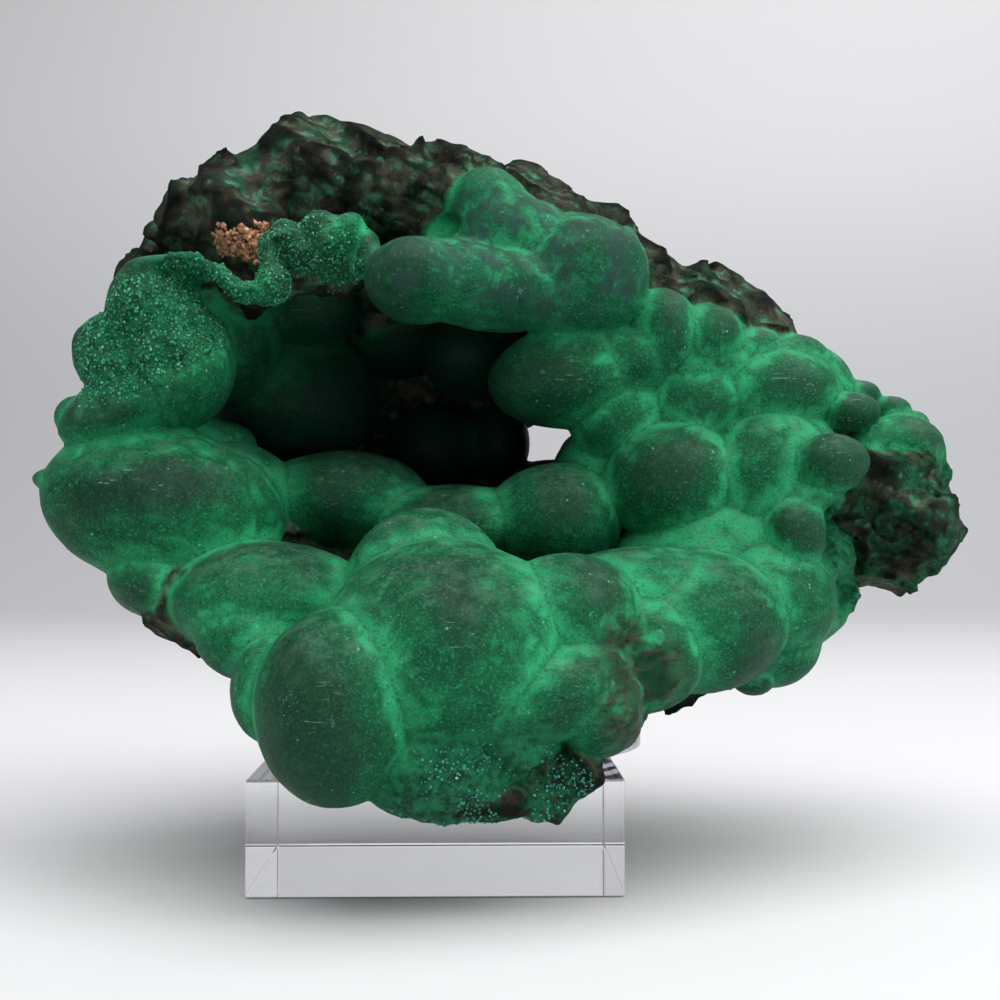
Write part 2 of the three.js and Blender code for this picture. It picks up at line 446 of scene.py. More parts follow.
draft = new_object("draft", skin)
thin = draft.modifiers.new("thin", "DECIMATE")
thin.ratio = min(1.0, TRIANGLES / (2 * len(skin_quads)))
stone = baked(draft, "malachite_stone")
stone.data.polygons.foreach_set("use_smooth", [True] * len(stone.data.polygons))


def largest_part(mesh):
    """Marks the vertices of the largest connected part, and counts the parts."""
    edges = np.zeros(len(mesh.edges) * 2, np.int64)
    mesh.edges.foreach_get("vertices", edges)
    a, b = edges.reshape(-1, 2).T
    label = np.arange(len(mesh.vertices))
    while True:
        low = np.minimum(label[a], label[b])
        before = label.copy()
        np.minimum.at(label, a, low)
        np.minimum.at(label, b, low)
        label = label[label]
        if (label == before).all():
            break
    names, counts = np.unique(label, return_counts=True)
    return label == names[counts.argmax()], len(names)


keep, parts = largest_part(stone.data)
if parts > 1:
    work = bmesh.new()
    work.from_mesh(stone.data)
    work.verts.ensure_lookup_table()
    crumbs = [work.verts[i] for i in np.flatnonzero(~keep)]
    bmesh.ops.delete(work, geom=crumbs, context="VERTS")
    work.to_mesh(stone.data)
    work.free()
print("stone", len(stone.data.polygons), "triangles, from", parts, "parts")

# %% [markdown]
# ## Measurements that guide the colour
#
# On the real stone the colour follows the shape. The creases between the domes keep their
# bright velvet and the crowns are rubbed darker and greyer. In the rock, pale stain and dust
# gather in the small nooks, and the broad swellings are dark. Two more measures carry painted
# shade: a thin dark line along the creases, partly dirt, and the depth in the vug, where the
# dark is partly the stone's own colour. Each of these is measured once at every vertex and
# stored as an attribute, a named number that the material reads.

# %% Measure the stone
FINE_ROUNDS, WIDE_ROUNDS = 3, 24


def vertex_places(mesh):
    flat = np.zeros(len(mesh.vertices) * 3, np.float32)
    mesh.vertices.foreach_get("co", flat)
    return ((flat.reshape(-1, 3) - foot) / unit).astype(np.float32)


def vertex_normals(mesh):
    flat = np.zeros(len(mesh.vertices) * 3, np.float32)
    mesh.vertices.foreach_get("normal", flat)
    return flat.reshape(-1, 3)


def store(mesh, name, values):
    mesh.attributes.new(name, "FLOAT", "POINT").data.foreach_set("value", values.astype(np.float32))
    print(f"  {name}: mean {values.mean():.2f}")


def hollowness(mesh, places, normals, rounds):
    """How far each vertex lies inside its smoothed neighbourhood, in millimetres.

    Positive in hollows and negative on crests, because the normals point into the stone.
    """
    edges = np.zeros(len(mesh.edges) * 2, np.int64)
    mesh.edges.foreach_get("vertices", edges)
    a, b = edges.reshape(-1, 2).T
    count = np.bincount(np.r_[a, b], minlength=len(places))[:, None]
    smooth = places.astype(np.float64)
    for _ in range(rounds):
        total = np.stack([np.bincount(a, smooth[b, k], len(places))
                          + np.bincount(b, smooth[a, k], len(places)) for k in range(3)], axis=1)
        smooth = 0.5 * smooth + 0.5 * total / count
    return ((places - smooth) * normals).sum(axis=1)


def at_places(grid, places):
    """A grid's value at each place, blended from the eight corners round it."""
    p = (places - [a[0] for a in axes]) / CELL
    cells = np.clip(np.floor(p).astype(int), 0, np.array(grid.shape) - 2)
    f = np.clip(p - cells, 0, 1)
    total = np.zeros(len(places), np.float32)
    for corner in itertools.product((0, 1), repeat=3):
        sides = [f[:, k] if corner[k] else 1 - f[:, k] for k in range(3)]
        weight = np.prod(sides, axis=0)
        total += weight * grid[tuple((cells + np.array(corner)).T)]
    return total


places = vertex_places(stone.data)
normals = vertex_normals(stone.data)
px, py, pz = places.T
by_lobe = np.stack([ellipsoid(px, py, pz, lobe) for lobe in malachite])
breadth = np.array([smallest_half(lobe) for lobe in malachite])[by_lobe.argmin(axis=0)]
first, second = np.partition(by_lobe, 1, axis=0)[:2]
gap = second - first
in_hollow = -np.minimum.reduce([ellipsoid(px, py, pz, lobe) for lobe in hollows])
rock_mask = smooth_step(at_places(lead_grid, places), -0.4, 0.8)
fine = hollowness(stone.data, places, normals, FINE_ROUNDS)
wide = hollowness(stone.data, places, normals, WIDE_ROUNDS)
spots = places.T
glittering = np.maximum(zone("wall", spots, 3), zone("frill", spots, 3))
crumbly = smooth_step(lumps(spots, 5.0, 51), 0.45, 0.65)
measures = {
    "rock": rock_mask,
    "crease": np.exp(-gap / 4.0),
    # Painted shade, partly dirt: a thin dark line along the creases between the domes.
    "line": np.maximum(np.exp(-gap / 1.0), smooth_step(-fine, 0.06, 0.16)),
    "crown": smooth_step(gap / breadth, 0.10, 1.00),
    "great": smooth_step(breadth, 10, 15),
    "nook": smooth_step(fine, 0.02, 0.16),
    "swell": smooth_step(-wide, 0.05, 0.9),
    # Painted shade, partly the stone's own dark colour: 1 deep in the vug, 0 outside it.
    "vug_dark_and_shade": smooth_step(py, -14, 14) * smooth_step(in_hollow, -5, 3),
    "broken": np.maximum.reduce([zone(name, spots) for name in ("wall", "foot", "end")]),
    "banded": np.maximum(zone("ridge", spots), zone("cap", spots) * rock_mask),
    "crusted": np.maximum(zone("crust", spots), 0.8 * zone("foot", spots)),
    "glitter": glittering * (1 - rock_mask),
    "turquoise": zone("foot", spots, 3) * crumbly,
    "copper": zone("copper", spots, 1.5) * rock_mask,
}
for name, values in measures.items():
    store(stone.data, name, values)

# %% [markdown]
# ## Shader sums in Python
#
# Mixing rust into rock, or dust onto crowns, takes many small sums. A Math node for each is
# slow to read, so a small class wraps a shader value and lets Python's own + - * / build
# the nodes. A kit around one material makes every other node in one line.

# %% A kit for materials
def plug(tree, value, target):
    """Links a value into a socket, or sets the socket if the value is plain."""
    value = getattr(value, "socket", value)
    if isinstance(value, bpy.types.NodeSocket):
        tree.links.new(value, target)
    else:
        target.default_value = value


class Number:
    """A shader value that adds a Math node whenever Python does a sum with it."""

    def __init__(self, kit, socket):
        self.kit = kit
        self.socket = socket

    def sum(self, operation, first, second):
        return Number(self.kit, self.kit.node("ShaderNodeMath", {"operation": operation},
                                              {0: first, 1: second}).outputs[0])

    def __add__(self, other):
        return self.sum("ADD", self, other)

    def __radd__(self, other):
        return self.sum("ADD", other, self)

    def __sub__(self, other):
        return self.sum("SUBTRACT", self, other)

    def __rsub__(self, other):
        return self.sum("SUBTRACT", other, self)

    def __mul__(self, other):
        return self.sum("MULTIPLY", self, other)

    def __rmul__(self, other):
        return self.sum("MULTIPLY", other, self)


class Kit:
    """One material and the short words used to build it."""

    def __init__(self, name):
        self.material = bpy.data.materials.new(name)
        self.material.use_nodes = True
        self.tree = self.material.node_tree
        self.shader = self.tree.nodes["Principled BSDF"]
        place = self.node("ShaderNodeTexCoord").outputs["Object"]
        self.place = self.node("ShaderNodeVectorMath", {"operation": "SCALE"},
                               {0: place, "Scale": 1 / unit}).outputs[0]

    def node(self, kind, settings=None, inputs=None):
        made = self.tree.nodes.new(kind)
        for key, value in (settings or {}).items():
            setattr(made, key, value)
        for key, value in (inputs or {}).items():
            plug(self.tree, value, made.inputs[key])
        return made

    def attribute(self, name):
        return Number(self, self.node("ShaderNodeAttribute", {"attribute_name": name}).outputs["Fac"])

    def noise(self, size, detail=3.0, rough=0.55, warp=0.0, place=None):
        """Noise from 0 to 1, with lumps of the given size in millimetres."""
        made = self.node("ShaderNodeTexNoise", None,
                         {"Vector": place or self.place, "Scale": 1 / size, "Detail": detail,
                          "Roughness": rough, "Distortion": warp})
        return Number(self, made.outputs["Fac"])

    def stretched(self, turn, stretch):
        """The place, turned and squeezed, for streaks and layers."""
        return self.node("ShaderNodeMapping", None,
                         {"Vector": self.place, "Rotation": turn, "Scale": stretch}).outputs[0]

    def cells(self, size):
        """Distance to the middle of the nearest cell, and that cell's own random number."""
        made = self.node("ShaderNodeTexVoronoi", None, {"Vector": self.place, "Scale": 1 / size})
        split = self.node("ShaderNodeSeparateColor", None, {0: made.outputs["Color"]})
        return Number(self, made.outputs["Distance"]), Number(self, split.outputs[0])

    def step(self, value, low, high):
        """0 below low, 1 above high, and a smooth rise between them."""
        made = self.node("ShaderNodeMapRange", {"interpolation_type": "SMOOTHSTEP"},
                         {"Value": value, "From Min": low, "From Max": high})
        return Number(self, made.outputs["Result"])

    def mix(self, amount, under, over):
        """Lays one colour over another by the given amount."""
        made = self.node("ShaderNodeMix", {"data_type": "RGBA"}, {0: amount})
        plug(self.tree, paint(under), made.inputs[6])
        plug(self.tree, paint(over), made.inputs[7])
        return made.outputs[2]

    def bump(self, height, depth, strength=1.0, under=None):
        """Relief from a height of 0 to 1 that is worth the given depth in millimetres."""
        inputs = {"Height": height, "Distance": depth * unit, "Strength": strength}
        if under is not None:
            inputs["Normal"] = under
        return self.node("ShaderNodeBump", None, inputs).outputs[0]

    def finish(self, **inputs):
        for key, value in inputs.items():
            plug(self.tree, value, self.shader.inputs[key.replace("_", " ")])
        return self.material


def paint(value):
    """A colour of three numbers gets its fourth; sockets pass through."""
    return (*value, 1.0) if isinstance(value, tuple) and len(value) == 3 else value

# %% [markdown]
# ## The stone's material
#
# One material covers the whole stone, because it is one natural piece: the green, the worn
# crowns, the broken rock and the crusts fade into each other. It is built in layers, as a
# painter would glaze it, from the widest change to the finest speck.

# %% Malachite green
VELVET_DARK, VELVET_BRIGHT = (0.010, 0.260, 0.092), (0.019, 0.420, 0.152)
MOSS, FRESH_CREASE = (0.010, 0.130, 0.052), (0.060, 0.660, 0.280)
RUBBED_SMALL, RUBBED_GREAT = (0.058, 0.110, 0.072), (0.026, 0.050, 0.036)
# Of the next three colours, the second is painted crease shade, partly dirt, and the third is painted
# shade on undersides.
RUST, CREASE_DIRT_AND_SHADE, UNDERSIDE_SHADE = (0.060, 0.042, 0.028), (0.003, 0.035, 0.016), (0.001, 0.045, 0.020)

kit = Kit("malachite_surface")
crease, line, crown, great, rock, vug_dark_and_shade, nook, swell, broken, banded, crusted, glitter = (
    kit.attribute(name) for name in ("crease", "line", "crown", "great", "rock", "vug_dark_and_shade", "nook",
                                     "swell", "broken", "banded", "crusted", "glitter"))
broad = kit.noise(24.0, 3.0)
cloud = kit.noise(7.0, 4.0, 0.6)
mottle = kit.noise(2.2, 5.0, 0.7)
grain = kit.noise(0.5, 4.0, 0.75)
green = kit.mix(kit.step(broad, 0.35, 0.65), VELVET_DARK, VELVET_BRIGHT)
green = kit.mix(kit.step(mottle, 0.42, 0.66) * 0.50, green, MOSS)
green = kit.mix(kit.step(crease, 0.10, 0.90) * 0.60, green, FRESH_CREASE)
worn = kit.step(crown * 0.95 + cloud * 0.70 + mottle * 0.30, 0.68, 1.30)
rubbed = kit.mix(great, RUBBED_SMALL, RUBBED_GREAT)
green = kit.mix(worn * (0.64 + 0.30 * great), green, rubbed)
rust = kit.step(kit.noise(9.0, 3.0, 0.6, 0.6), 0.58, 0.74) * (1 - crease)
green = kit.mix(rust * 0.45, green, RUST)
# Painted shade, partly dirt: a thin dark line along the creases between the domes.
green = kit.mix(line * 0.75, green, CREASE_DIRT_AND_SHADE)
normal = kit.node("ShaderNodeNewGeometry").outputs["Normal"]
facing = kit.node("ShaderNodeSeparateXYZ", None, {0: normal}).outputs["Z"]
upward = kit.step(Number(kit, facing), 0.1, 0.9)
# Painted shade: what faces down is darkened, as under a light from above.
downward_shade = kit.step(Number(kit, facing), 0.05, -0.75)
green = kit.mix(downward_shade * 0.55, green, UNDERSIDE_SHADE)
print("malachite green made")

# %% [markdown]
# ### Velvet grain, dust with painted top light, flecks and scratches
#
# Close up, the surface is a mat of tiny fibres: light and dark grains below a millimetre.
# Pale dust, partly painted top light, lies on what faces up, mint flecks sit in some of the
# grains, and the crowns carry a few thin pale scratches from handling. Deep in the vug the
# colour is darkened, as painted shade that is partly the stone's own dark colour.

# %% Grain, dust with painted top light, flecks, scratches and vug shade
LIGHT_GRAIN, DARK_GRAIN = (0.050, 0.450, 0.225), (0.002, 0.030, 0.012)
# The first of the next two colours is pale dust, partly painted top light.
DUST_AND_TOP_LIGHT, FLECK = (0.150, 0.290, 0.200), (0.180, 0.520, 0.380)
# The last of the next three colours is painted shade in the vug, partly the stone's own dark colour.
SCAB, SCRATCH, VUG_DARK_AND_SHADE = (0.085, 0.250, 0.200), (0.200, 0.330, 0.250), (0.0006, 0.012, 0.008)

green = kit.mix(kit.step(grain, 0.52, 0.72) * (0.70 - 0.45 * worn), green, LIGHT_GRAIN)
green = kit.mix(kit.step(grain, 0.48, 0.30) * 0.80, green, DARK_GRAIN)
# Pale dust on what faces up, partly painted top light.
dust_and_top_light = upward * kit.step(kit.noise(3.0, 4.0, 0.7), 0.40, 0.72)
green = kit.mix(dust_and_top_light * 0.32, green, DUST_AND_TOP_LIGHT)
speck_distance, speck_kind = kit.cells(0.8)
fleck = kit.step(speck_kind, 0.965, 0.980) * kit.step(speck_distance, 0.38, 0.20)
fleck = fleck * kit.step(cloud, 0.45, 0.60)
green = kit.mix(fleck * 0.75, green, FLECK)
scab = kit.step(kit.noise(1.5, 4.0, 0.75), 0.60, 0.68)
scab = scab * kit.step(kit.noise(10.0, 2.0), 0.52, 0.62) * worn
green = kit.mix(scab * 0.60, green, SCAB)


def scratches(turn, seed):
    """Thin pale lines, about a centimetre long and a tenth of a millimetre wide."""
    place = kit.stretched(turn, (0.10, 3.2, 3.2))
    shifted = kit.node("ShaderNodeVectorMath", {"operation": "ADD"}, {0: place, 1: (seed,) * 3})
    return kit.step(kit.noise(1.0, 1.0, 0.5, 0.0, shifted.outputs[0]), 0.695, 0.725)


scratch = scratches((0.3, 0.5, 0.2), 0.0) + scratches((0.1, -0.7, 0.9), 31.0)
scratch = scratch * kit.step(crown, 0.2, 0.7) * kit.step(kit.noise(11.0, 2.0), 0.50, 0.62)
green = kit.mix(scratch * 0.70, green, SCRATCH)
# Painted shade, partly the stone's own dark colour: deep in the vug the green is darkened.
green = kit.mix(vug_dark_and_shade * 0.90, green, VUG_DARK_AND_SHADE)
print("grain, dust, flecks and scratches made")

# %% [markdown]
# ### Crusts, broken faces and bands
#
# The upper lobes wear a blue-grey crust, the broken face of the wall shows bright crystal
# ends with mint sparkle, and the cut ridge in front shows malachite's well-known bands,
# here nearly black and brown.

# %% Crusts, broken faces and bands
CRUST, MINT = (0.026, 0.066, 0.056), (0.100, 0.300, 0.240)
SHARD_DARK, SHARD_BRIGHT, SPARKLE = (0.003, 0.045, 0.018), (0.018, 0.200, 0.085), (0.140, 0.420, 0.270)
BAND_BLACK, BAND_BROWN, BAND_GREEN = (0.008, 0.012, 0.009), (0.062, 0.048, 0.034), (0.006, 0.045, 0.024)

patch = kit.step(kit.noise(5.0, 5.0, 0.70), 0.40, 0.58) * crusted
green = kit.mix(patch * 0.80, green, CRUST)
mint = kit.step(kit.noise(1.6, 5.0, 0.75), 0.58, 0.68)
green = kit.mix(mint * crusted * 0.50, green, MINT)
shard = kit.mix(kit.step(kit.noise(1.8, 4.0, 0.7), 0.38, 0.62), SHARD_DARK, SHARD_BRIGHT)
shard = kit.mix(kit.step(kit.noise(0.8, 3.0, 0.7), 0.62, 0.76), shard, SPARKLE)
green = kit.mix(broken * 0.80, green, shard)
layers = kit.noise(1.6, 3.0, 0.55, 1.2, kit.stretched((0.5, 0.35, 0.2), (0.22, 0.22, 0.9)))
band = kit.mix(kit.step(layers, 0.36, 0.64), BAND_BLACK, BAND_BROWN)
band = kit.mix(kit.step(kit.noise(6.0, 3.0), 0.50, 0.64) * 0.8, band, BAND_GREEN)
banding = banded * kit.step(kit.noise(6.0, 3.0), 0.30, 0.50)
green = kit.mix(banding * 0.85, green, band)
print("crusts, broken faces and bands made")

# %% [markdown]
# ### The dark rock
#
# The matrix is brown-black and spongy, stained green in its nooks and dusted with
# sand-coloured earth where it faces up.

# %% Rock
ROCK_BLACK, ROCK_BROWN, TAN = (0.010, 0.013, 0.009), (0.075, 0.074, 0.050), (0.110, 0.088, 0.055)
CRAG_PALE, CRAG_BLACK = (0.120, 0.125, 0.085), (0.004, 0.005, 0.004)
STAIN, BRIGHT_STAIN, PALE_NOOK = (0.014, 0.130, 0.064), (0.060, 0.480, 0.270), (0.230, 0.225, 0.160)
SWELL_BLACK, EARTH, RUST_SPOT = (0.002, 0.003, 0.002), (0.070, 0.078, 0.050), (0.095, 0.030, 0.012)
# Painted shade deep in the vug, partly the rock's own dark colour.
DEEP_ROCK_DARK_AND_SHADE = (0.001, 0.004, 0.003)

dark = kit.mix(kit.step(kit.noise(6.0, 5.0, 0.7), 0.35, 0.68), ROCK_BLACK, ROCK_BROWN)
dark = kit.mix(kit.step(kit.noise(2.4, 4.0, 0.7), 0.56, 0.70) * 0.6, dark, TAN)
crag = kit.noise(3.2, 8.0, 0.78, 0.3)
dark = kit.mix(kit.step(crag, 0.52, 0.62) * 0.7, dark, CRAG_PALE)
dark = kit.mix(kit.step(crag, 0.47, 0.38) * 0.8, dark, CRAG_BLACK)
stain = kit.step(kit.noise(4.0, 5.0, 0.72, 0.5), 0.48, 0.60)
dark = kit.mix(stain * 0.60, dark, STAIN)
dark = kit.mix(stain * nook * 0.9, dark, BRIGHT_STAIN)
dark = kit.mix(nook * 0.40, dark, PALE_NOOK)
dark = kit.mix(swell * 0.85, dark, SWELL_BLACK)
earth = kit.step(kit.noise(13.0, 3.0), 0.54, 0.66) * (1 - swell) * upward
dark = kit.mix(earth * 0.55, dark, EARTH)
dark = kit.mix(kit.step(kit.noise(3.4, 3.0, 0.6, 0.3), 0.66, 0.72) * 0.7, dark, RUST_SPOT)
dark = kit.mix(broken * kit.step(kit.noise(5.0, 4.0, 0.6), 0.45, 0.58) * 0.7, dark, shard)
# Painted shade, partly the rock's own dark colour: deep in the vug the rock is darkened.
dark = kit.mix(vug_dark_and_shade * 0.8, dark, DEEP_ROCK_DARK_AND_SHADE)
colour = kit.mix(rock, green, dark)
print("rock made")

# %% [markdown]
# ### Relief and gloss
#
# Fine relief that the mesh is too coarse to hold comes from Bump nodes: a fibre grain, small
# pinholes and, on the rock, a coarser tooth. A little sheen gives the velvet its soft edge.

# %% Relief and gloss
pinhole_distance, pinhole_kind = kit.cells(1.7)
pinholes = kit.step(pinhole_kind, 0.80, 0.90) * kit.step(pinhole_distance, 0.30, 0.12)
relief = kit.bump(grain * (0.6 + 0.4 * rock) - pinholes * 0.9, 0.16, 0.9)
relief = kit.bump(kit.noise(1.5, 4.0, 0.6), 0.30, 0.55, relief)
tooth = crag * (rock + broken * 0.7 + glitter * 0.4 + 0.05)
relief = kit.bump(tooth, 1.3, 0.8, relief)
gloss = 0.62 + 0.22 * rock - 0.16 * worn + 0.16 * (grain - 0.5) - 0.20 * glitter * mint
stone_material = kit.finish(Base_Color=colour, Roughness=gloss, Normal=relief,
                            Specular_IOR_Level=0.10, Sheen_Weight=0.01, Sheen_Roughness=0.45,
                            Sheen_Tint=(0.55, 0.85, 0.68, 1.0))
stone.data.materials.append(stone_material)
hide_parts("malachite")
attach(stone, "root")
print("stone material:", len(kit.tree.nodes), "nodes")

# %% [markdown]
# ## Grains that stand on the stone
#
# Small crystals cover the broken face of the wall and the frill, crumbs of turquoise crust
# sit on the foot, and a patch of bare copper shines on the rock above the hollow. They repeat
# by the hundred, so Geometry Nodes scatter them: points are spread over the stone where an
# attribute is high, each gets a small faceted ball with its own turn and size, and the result
# is made real, because an exported file keeps no instances.

# %% A node tree that scatters grains
FULL_TURN = 6.28


def grain_tree(material, attribute):
    tree = bpy.data.node_groups.new("grains_on_" + attribute, "GeometryNodeTree")
    face = tree.interface
    face.new_socket("Surface", in_out="INPUT", socket_type="NodeSocketGeometry")
    for name in ("Grains per square mm", "Smallest", "Largest", "Flatness"):
        face.new_socket(name, in_out="INPUT", socket_type="NodeSocketFloat")
    face.new_socket("Seed", in_out="INPUT", socket_type="NodeSocketInt")
    face.new_socket("Grains", in_out="OUTPUT", socket_type="NodeSocketGeometry")

    def node(kind, settings=None, inputs=None):
        made = tree.nodes.new(kind)
        for key, value in (settings or {}).items():
            setattr(made, key, value)
        for key, value in (inputs or {}).items():
            plug(tree, value, made.inputs[key])
        return made

    def times(first, second):
        made = node("ShaderNodeMath", {"operation": "MULTIPLY"}, {0: first, 1: second})
        return made.outputs[0]

    given = node("NodeGroupInput").outputs
    here = node("GeometryNodeInputNamedAttribute", {"data_type": "FLOAT"}, {"Name": attribute})
    crowd = times(given["Grains per square mm"], unit ** -2)
    crowd = times(crowd, here.outputs["Attribute"])
    spread = node("GeometryNodeDistributePointsOnFaces", None,
                  {"Mesh": given["Surface"], "Density": crowd, "Seed": given["Seed"]})
    ball = node("GeometryNodeMeshIcoSphere", None, {"Radius": unit, "Subdivisions": 1})
    turn = node("FunctionNodeRandomValue", {"data_type": "FLOAT_VECTOR"},
                {"Max": (FULL_TURN,) * 3, "Seed": given["Seed"]})
    width = node("FunctionNodeRandomValue", {"data_type": "FLOAT"},
                 {2: given["Smallest"], 3: given["Largest"], "Seed": given["Seed"]})
    across = width.outputs[1]
    scale = node("ShaderNodeCombineXYZ", None,
                 {0: across, 1: across, 2: times(across, given["Flatness"])})
    placed = node("GeometryNodeInstanceOnPoints", None,
                  {"Points": spread.outputs["Points"], "Instance": ball.outputs["Mesh"],
                   "Rotation": turn.outputs[0], "Scale": scale.outputs[0]})
    real = node("GeometryNodeRealizeInstances", None, {0: placed.outputs[0]})
    coated = node("GeometryNodeSetMaterial", None,
                  {"Geometry": real.outputs[0], "Material": material})
    node("NodeGroupOutput", None, {0: coated.outputs[0]})
    return tree


def scatter(name, attribute, material, **inputs):
    """Grains on the stone where the attribute is high, as one plain mesh piece."""
    carrier = new_object("carrier", stone.data.copy())
    modifier = carrier.modifiers.new("grains", "NODES")
    modifier.node_group = grain_tree(material, attribute)
    for item in modifier.node_group.interface.items_tree:
        if item.in_out == "INPUT" and item.name.replace(" ", "_") in inputs:
            modifier[item.identifier] = inputs[item.name.replace(" ", "_")]
    piece = baked(carrier, name)
    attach(piece, "root")
    print(name, len(piece.data.polygons), "faces")


# %% [markdown]
# ### Three kinds of grain
#
# The crystals are green with some mint ends, the turquoise is chalky, and the copper is a
# dull metal with a darker skin in places. Each varies by noise from grain to grain.

# %% Grain materials and the three scatters
kit = Kit("mint_crystal")
tone = kit.noise(2.0, 3.0, 0.7)
crystal = kit.mix(kit.step(tone, 0.40, 0.56), (0.010, 0.120, 0.050), (0.022, 0.300, 0.135))
crystal = kit.mix(kit.step(kit.noise(0.9, 2.0), 0.56, 0.66), crystal, (0.180, 0.560, 0.380))
crystal_material = kit.finish(Base_Color=crystal, Roughness=0.30 + 0.30 * tone,
                              Specular_IOR_Level=0.4)
kit = Kit("turquoise_crumb")
tone = kit.noise(1.1, 3.0, 0.7)
crumb = kit.mix(kit.step(tone, 0.35, 0.65), (0.012, 0.110, 0.070), (0.060, 0.420, 0.300))
crumb = kit.mix(kit.step(kit.noise(0.8, 2.0), 0.62, 0.72), crumb, (0.420, 0.720, 0.620))
crumb_material = kit.finish(Base_Color=crumb, Roughness=0.55 + 0.25 * tone,
                            Specular_IOR_Level=0.25)
kit = Kit("bare_copper")
tone = kit.noise(1.0, 3.0, 0.7)
copper = kit.mix(kit.step(tone, 0.40, 0.62), (0.300, 0.130, 0.070), (0.860, 0.460, 0.290))
copper_material = kit.finish(Base_Color=copper, Roughness=0.38 + 0.25 * tone, Metallic=0.55)

scatter("crystal_druse", "glitter", crystal_material,
        Grains_per_square_mm=2.2, Smallest=0.12, Largest=0.40, Flatness=0.7, Seed=3)
scatter("turquoise_crumbs", "turquoise", crumb_material,
        Grains_per_square_mm=2.0, Smallest=0.10, Largest=0.36, Flatness=0.8, Seed=4)
scatter("copper_grains", "copper", copper_material,
        Grains_per_square_mm=2.4, Smallest=0.35, Largest=1.00, Flatness=0.8, Seed=5)

# %% [markdown]
# ## The clear block and ring
#
# Cast acrylic is sawn and polished, so its edges are eased by a fraction of a millimetre and
# catch a thin bright line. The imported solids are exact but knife-edged, so each is made
# again at the same size with a small bevel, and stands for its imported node.

# %% Block and ring shapes
BLOCK_EDGE, RING_EDGE = 0.4, 0.35
STEPS = 128


def mesh_from(name, verts, faces):
    mesh = bpy.data.meshes.new(name)
    mesh.from_pydata([tuple(v) for v in verts], [], faces)
    mesh.update()
    return mesh


def eased(mesh, name, width, segments, sharpest):
    """The mesh with every edge sharper than the given angle rounded over."""
    draft = new_object("draft", mesh)
    edge = draft.modifiers.new("edge", "BEVEL")
    edge.width = width * unit
    edge.segments = segments
    edge.angle_limit = math.radians(sharpest)
    return baked(draft, name)


corners = list(itertools.product(*zip(block_low, block_high)))
sides = [(0, 1, 3, 2), (4, 6, 7, 5), (0, 4, 5, 1), (2, 3, 7, 6), (0, 2, 6, 4), (1, 5, 7, 3)]
clear_block = eased(mesh_from("block", corners, sides), "clear_block", BLOCK_EDGE, 2, 30)

outer, inner = ring_outer * unit, RING_INNER * unit
middle = (ring_low + ring_high) / 2
profile = [(inner, ring_low[2]), (outer, ring_low[2]), (outer, ring_high[2]), (inner, ring_high[2])]
verts = []
for step in range(STEPS):
    turn = 2 * math.pi * step / STEPS
    verts += [(middle[0] + r * math.cos(turn), middle[1] + r * math.sin(turn), z) for r, z in profile]
faces = []
for step, k in itertools.product(range(STEPS), range(4)):
    here, there = 4 * step, 4 * ((step + 1) % STEPS)
    faces.append((here + k, there + k, there + (k + 1) % 4, here + (k + 1) % 4))
clear_ring = eased(mesh_from("ring", verts, faces), "clear_ring", RING_EDGE, 3, 40)
clear_ring.data.polygons.foreach_set("use_smooth", [False] * len(clear_ring.data.polygons))
print("block and ring made")

# %% [markdown]
# ## Clear acrylic
#
# Acrylic is glass with a lower index of refraction, 1.49. Polished faces are not perfect, so
# a very faint handling haze varies the roughness. The ring has a faint lilac tint.

# %% Acrylic
BLOCK_TINT, RING_TINT = (0.905, 0.910, 0.925, 1.0), (0.860, 0.830, 0.960, 1.0)


def acrylic(name, tint):
    kit = Kit(name)
    haze = kit.step(kit.noise(14.0, 3.0), 0.45, 0.75) * 0.03
    streaks = kit.noise(1.2, 2.0, 0.5, 0.0, kit.stretched((0.2, 0.1, 0.6), (0.15, 1, 1)))
    smear = kit.step(streaks, 0.60, 0.75) * 0.03
    return kit.finish(Base_Color=tint, Roughness=0.015 + haze + smear, IOR=1.49,
                      Transmission_Weight=1.0)


clear_block.data.materials.append(acrylic("clear_acrylic", BLOCK_TINT))
clear_ring.data.materials.append(acrylic("lilac_acrylic", RING_TINT))
for piece, node, slot in ((clear_block, "acrylic_block", "clear_block"),
                          (clear_ring, "cradle_ring", "clear_ring")):
    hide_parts(node)
    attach(piece, "root")
print("block and ring finished")

# %% [markdown]
# ## The table and the sweep behind it
#
# Small objects are shown on a sheet of pale card that lies on the table and curves up behind
# them, so that no edge shows. The floor here is one such sheet: flat, then curved up into a
# wall. It is a little darker where it meets the curve, as a lit sweep is. Its sizes are in
# metres.

# %% Sweep
FRONT, BACK, CURVE, TOP, HALF_WIDTH = -4.0, 0.9, 1.3, 3.2, 4.5
BELOW = 0.0002
CARD_DIM, CARD_PALE, CARD_SHADE = (0.83, 0.83, 0.84), (0.85, 0.85, 0.86), (0.60, 0.60, 0.62)

angles = np.linspace(0, math.pi / 2, 24)[1:]
bend = [(BACK + CURVE * math.sin(a), CURVE - CURVE * math.cos(a)) for a in angles]
side_view = [(FRONT, 0.0), (BACK, 0.0)] + bend + [(BACK + CURVE, TOP)]
verts = [(x, y, z - BELOW) for y, z in side_view for x in (-HALF_WIDTH, HALF_WIDTH)]
faces = [(2 * k, 2 * k + 1, 2 * k + 3, 2 * k + 2) for k in range(len(side_view) - 1)]
sweep = new_object("sweep", mesh_from("sweep", verts, faces))
sweep.data.polygons.foreach_set("use_smooth", [True] * len(sweep.data.polygons))
kit = Kit("pale_card")
split = kit.node("ShaderNodeSeparateXYZ", None, {0: kit.place})
away, height = Number(kit, split.outputs["Y"]), Number(kit, split.outputs["Z"])
shade = kit.step(away, 150, 1000) * kit.step(height, 800, 150)
card = kit.mix(kit.noise(0.8, 3.0), CARD_DIM, CARD_PALE)
card = kit.mix(shade * 0.8, card, CARD_SHADE)
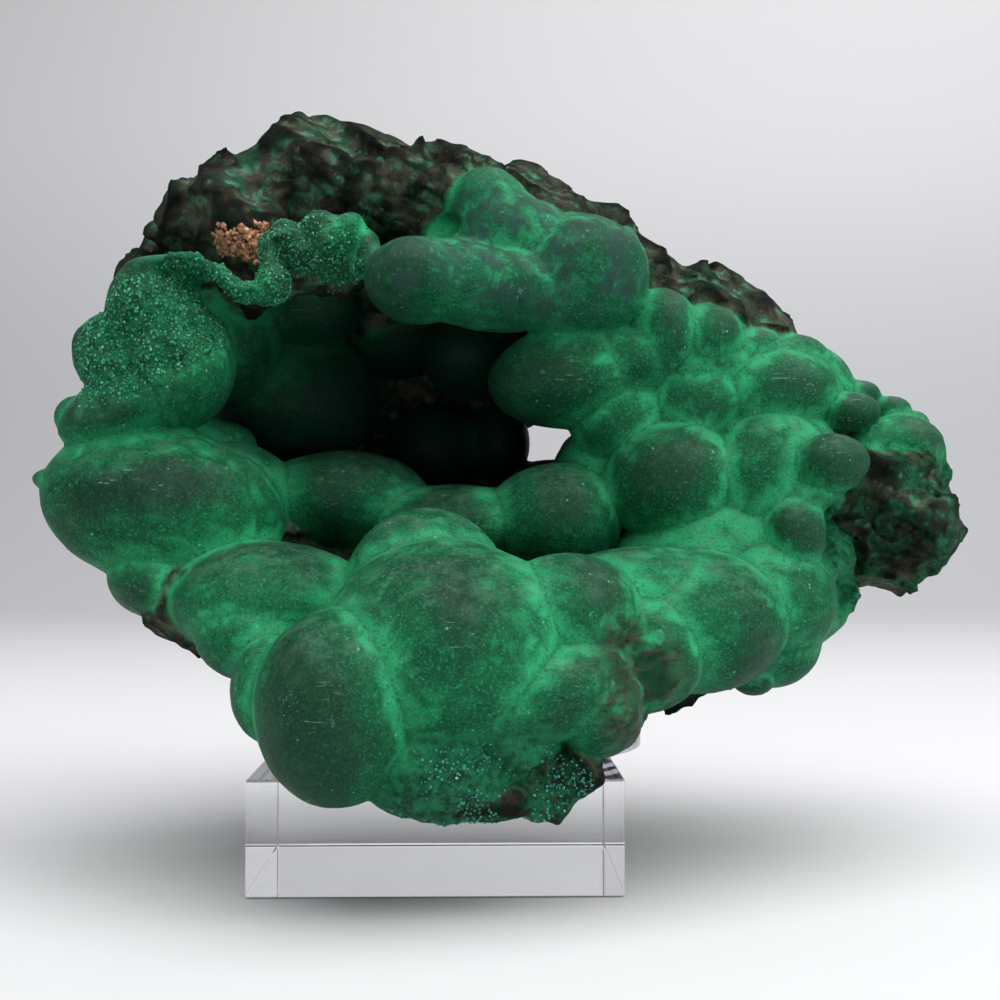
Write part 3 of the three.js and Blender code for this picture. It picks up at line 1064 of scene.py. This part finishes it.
sweep.data.materials.append(kit.finish(Base_Color=card, Roughness=0.9))
print("sweep made")

# %% [markdown]
# ## Light
#
# The stone stands in even studio light from all sides, with one large soft light above it,
# so that the domes show their tops while the hollow stays deep and dark. A small soft light
# from the right lifts that side. A third is only for the card behind, which would otherwise
# fall off into grey.

# %% Lights
SKY_COLOUR, SKY_STRENGTH = (0.96, 0.975, 1.0, 1.0), 0.31


def soft_light(name, place, aim, width, height, watts):
    data = bpy.data.lights.new(name, "AREA")
    data.shape = "RECTANGLE"
    data.size = width
    data.size_y = height
    data.energy = watts
    light = bpy.data.objects.new(name, data)
    light.location = place
    light.rotation_euler = (Vector(aim) - Vector(place)).to_track_quat("-Z", "Y").to_euler()
    bpy.context.scene.collection.objects.link(light)


soft_light("top_light", (0.15, -0.25, 1.15), (0.0, 0.0, 0.05), 1.7, 1.3, 15.0)
soft_light("right_light", (0.95, -0.55, 0.75), (0.0, 0.0, 0.08), 0.7, 0.7, 4.5)
soft_light("card_light", (0.75, 1.30, 1.75), (0.5, 2.2, 0.95), 2.0, 0.6, 11.5)
world = bpy.data.worlds.new("studio")
bpy.context.scene.world = world
world.use_nodes = True
sky = world.node_tree.nodes["Background"].inputs
sky["Color"].default_value = SKY_COLOUR
sky["Strength"].default_value = SKY_STRENGTH
print("lights made")

# %% [markdown]
# ## Camera
#
# The camera stands close, about 29 cm from the stone and a third of the way up it, looking
# very slightly up and to the right.

# %% Camera
SENSOR = 36
VIEW_LENGTH = 1.482
STANDPOINT = (6.4, -287.4, 61.2)
TILT, PAN = 91.5, -1.04

lens = bpy.data.cameras.new("camera")
lens.sensor_width = SENSOR
lens.lens = SENSOR * VIEW_LENGTH
lens.clip_start = 0.01
lens.dof.use_dof = False
camera = bpy.data.objects.new("camera", lens)
bpy.context.scene.collection.objects.link(camera)
bpy.context.scene.camera = camera
camera.location = Vector(foot) + Vector(STANDPOINT) * unit
camera.rotation_euler = (math.radians(TILT), 0, math.radians(PAN))
bpy.context.scene.view_settings.view_transform = "Standard"
print("camera made")
